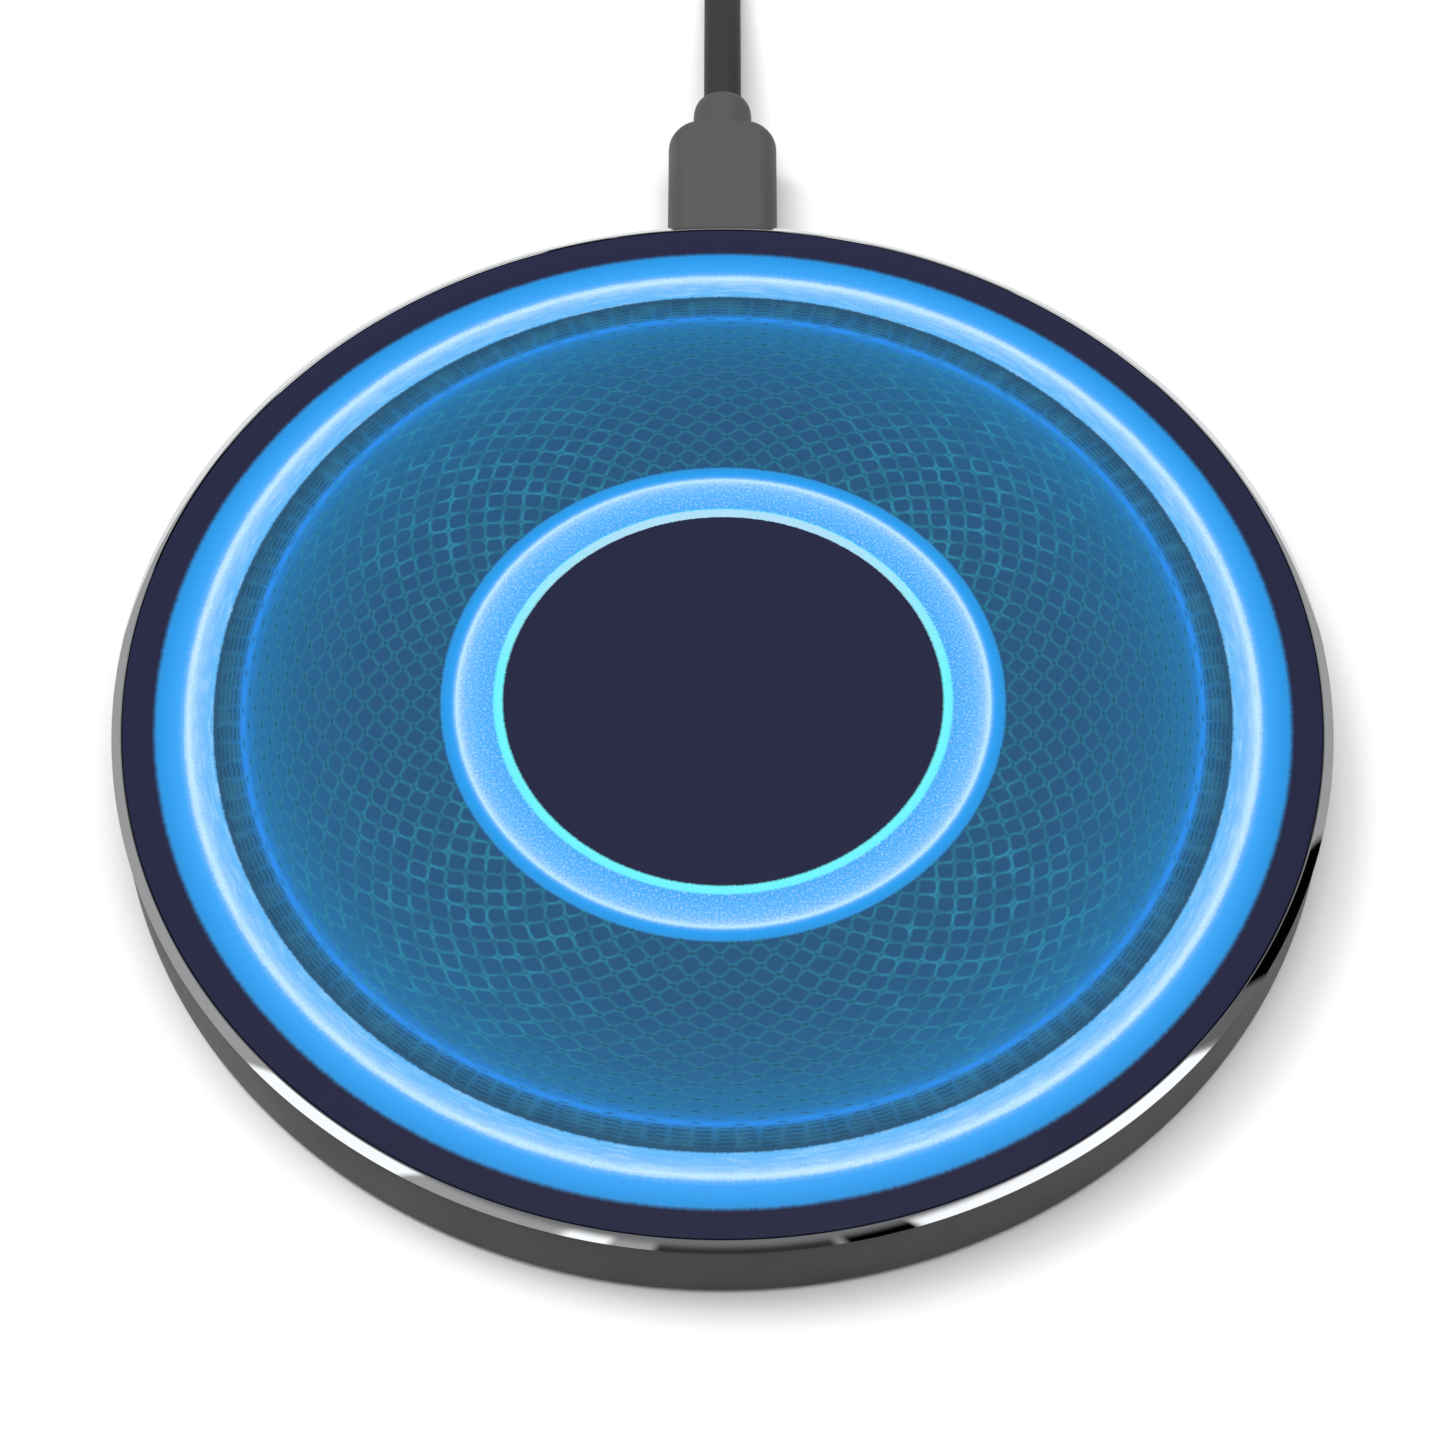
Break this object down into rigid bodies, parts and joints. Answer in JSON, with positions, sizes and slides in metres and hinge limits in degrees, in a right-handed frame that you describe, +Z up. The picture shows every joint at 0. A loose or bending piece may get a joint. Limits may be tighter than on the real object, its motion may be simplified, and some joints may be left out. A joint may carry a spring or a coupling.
{
  "type": "wireless charging pad",
  "caption": "Slim round wireless charging pad with a printed top panel, a bright bezel ring, a black base and a plug-in cable.",
  "frame": {"origin": "centre of the pad at the plane it stands on, the bottom of the anti-slip ring", "axes": "+Z up through the charging surface, +Y towards the cable's side of the pad, +X to the right when the pad is seen from the side away from its cable"},
  "size_m": [0.1, 0.2075, 0.0117],
  "materials": {
    "printed_panel": "acrylic sheet with a satin face, printed with blue rings and a net on dark navy",
    "chrome": "mirror polished plating",
    "black_abs": "fine satin moulding texture",
    "inner_abs": "plain moulded",
    "silicone": "matt silicone rubber",
    "tape": "double-sided adhesive tape",
    "ferrite": "sintered, matt dark grey",
    "enamel_wire": "enamelled copper litz wire",
    "fibreglass": "green solder mask on glass-epoxy laminate",
    "tinned_steel": "bright tin or nickel plating on pressed steel",
    "screw_steel": "zinc plated",
    "chip_epoxy": "moulded black epoxy",
    "capacitor_ceramic": "fired ceramic",
    "clear_plastic": "clear moulded polycarbonate",
    "socket_plastic": "black glass-filled nylon",
    "white_plastic": "white moulded nylon",
    "plug_pvc": "satin overmoulded PVC",
    "cable_pvc": "smooth satin PVC jacket",
    "strap_fabric": "hook-and-loop strap, napped",
    "contact_gold": "gold flash plating"
  },
  "bodies": {
    "pad": {"top_panel": "printed_panel", "panel_adhesive": "tape", "bezel_ring": "chrome", "base_shell": "black_abs", "anti_slip_ring": "silicone", "top_frame": "inner_abs", "case_screw_1": "screw_steel", "case_screw_2": "screw_steel", "case_screw_3": "screw_steel", "case_screw_4": "screw_steel", "coil_tray": "inner_abs", "ferrite_sheet": "ferrite", "coil_adhesive": "tape", "charging_coil": "enamel_wire", "coil_lead_inner": "enamel_wire", "coil_lead_outer": "enamel_wire", "thermistor": "clear_plastic", "circuit_board": "fibreglass", "board_screw_1": "screw_steel", "board_screw_2": "screw_steel", "usb_socket_shell": "tinned_steel", "usb_socket_tongue": "socket_plastic", "light_pipe": "clear_plastic", "status_led": "white_plastic", "power_inductor": "chip_epoxy", "controller_chip": "chip_epoxy", "driver_chip": "chip_epoxy", "clock_crystal": "tinned_steel", "input_capacitor_1": "capacitor_ceramic", "input_capacitor_2": "capacitor_ceramic", "resonant_capacitor_1": "capacitor_ceramic", "resonant_capacitor_2": "capacitor_ceramic", "resonant_capacitor_3": "capacitor_ceramic", "resonant_capacitor_4": "capacitor_ceramic"},
    "cable": {"plug_shell": "tinned_steel", "plug_insulator": "socket_plastic", "plug_overmold": "plug_pvc", "plug_collar": "plug_pvc", "cable_run": "cable_pvc", "cable_coil": "cable_pvc", "cable_tail": "cable_pvc", "cable_tie": "strap_fabric", "usb_a_strain_relief": "plug_pvc", "usb_a_overmold": "plug_pvc", "usb_a_shell": "tinned_steel", "usb_a_insulator": "white_plastic", "usb_a_contact_1": "contact_gold", "usb_a_contact_2": "contact_gold", "usb_a_contact_3": "contact_gold", "usb_a_contact_4": "contact_gold"}
  },
  "joints": [
    {"name": "plug_pull", "type": "slide", "parent": "pad", "child": "cable", "axis": [0, 1, 0], "range_m": [0, 0.02]}
  ]
}
